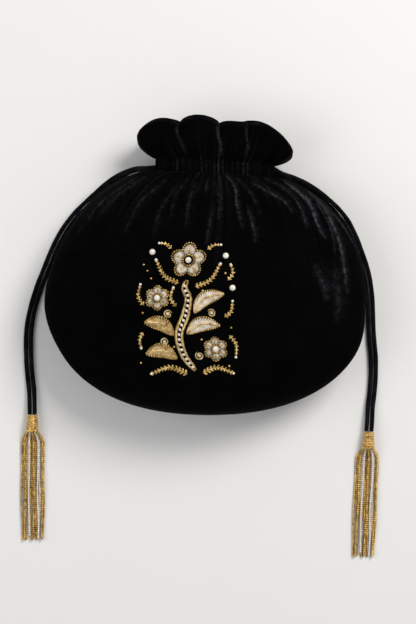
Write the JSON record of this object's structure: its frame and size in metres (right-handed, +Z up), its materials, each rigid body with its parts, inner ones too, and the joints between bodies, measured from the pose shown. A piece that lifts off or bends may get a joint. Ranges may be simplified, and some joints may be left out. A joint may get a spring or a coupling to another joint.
{
  "type": "potli bag",
  "caption": "Stuffed black velvet drawstring pouch lying on its back, with a gathered neck, a puffed ruffle, gold sprig embroidery and paired cords ending in bead tassels.",
  "frame": {"origin": "on the floor, at the middle of the flat patch that the back rests on, under the widest line of the body", "axes": "+X to the right of the embroidered front, +Y toward the neck and ruffle, +Z up out of the embroidered front"},
  "size_m": [0.2578, 0.312, 0.0855],
  "materials": {
    "velvet": "black cotton velvet with a grey sheen on its folds",
    "velvet_cord": "sewn velvet tube",
    "satin_lining": "black satin",
    "gold_bead": "gold plated seed beads",
    "white_bead": "white seed beads",
    "gold_thread": "couched gold wire",
    "champagne_thread": "champagne bead and thread work",
    "pearl": "ivory pearl beads"
  },
  "bodies": {
    "root": {"front_panel": "velvet", "back_panel": "velvet", "lining": "satin_lining", "left_drawstring": "velvet_cord", "right_drawstring": "velvet_cord", "left_tassel_head": "gold_bead", "right_tassel_head": "gold_bead", "left_strand_1": "gold_bead", "left_strand_2": "gold_bead", "left_strand_3": "gold_bead", "left_strand_4": "white_bead", "left_strand_5": "gold_bead", "left_strand_6": "gold_bead", "left_strand_7": "gold_bead", "left_strand_8": "gold_bead", "left_strand_9": "white_bead", "left_strand_10": "gold_bead", "left_strand_11": "gold_bead", "left_strand_12": "gold_bead", "left_strand_13": "white_bead", "left_strand_14": "gold_bead", "left_strand_15": "white_bead", "left_strand_16": "gold_bead", "right_strand_1": "gold_bead", "right_strand_2": "gold_bead", "right_strand_3": "gold_bead", "right_strand_4": "white_bead", "right_strand_5": "gold_bead", "right_strand_6": "gold_bead", "right_strand_7": "gold_bead", "right_strand_8": "gold_bead", "right_strand_9": "white_bead", "right_strand_10": "gold_bead", "right_strand_11": "gold_bead", "right_strand_12": "gold_bead", "right_strand_13": "white_bead", "right_strand_14": "gold_bead", "right_strand_15": "white_bead", "right_strand_16": "gold_bead", "stem": "gold_thread", "leaf_1": "gold_thread", "leaf_3": "gold_thread", "sprig_1": "gold_thread", "sprig_2": "gold_thread", "sprig_3": "gold_thread", "sprig_4": "gold_thread", "leaf_2": "champagne_thread", "leaf_4": "champagne_thread", "bloom": "champagne_thread", "left_rosette": "champagne_thread", "right_rosette": "champagne_thread", "bloom_pearl": "pearl", "left_rosette_pearl": "pearl", "right_rosette_pearl": "pearl", "pearl_1": "pearl", "pearl_2": "pearl", "pearl_3": "pearl"}
  },
  "joints": []
}
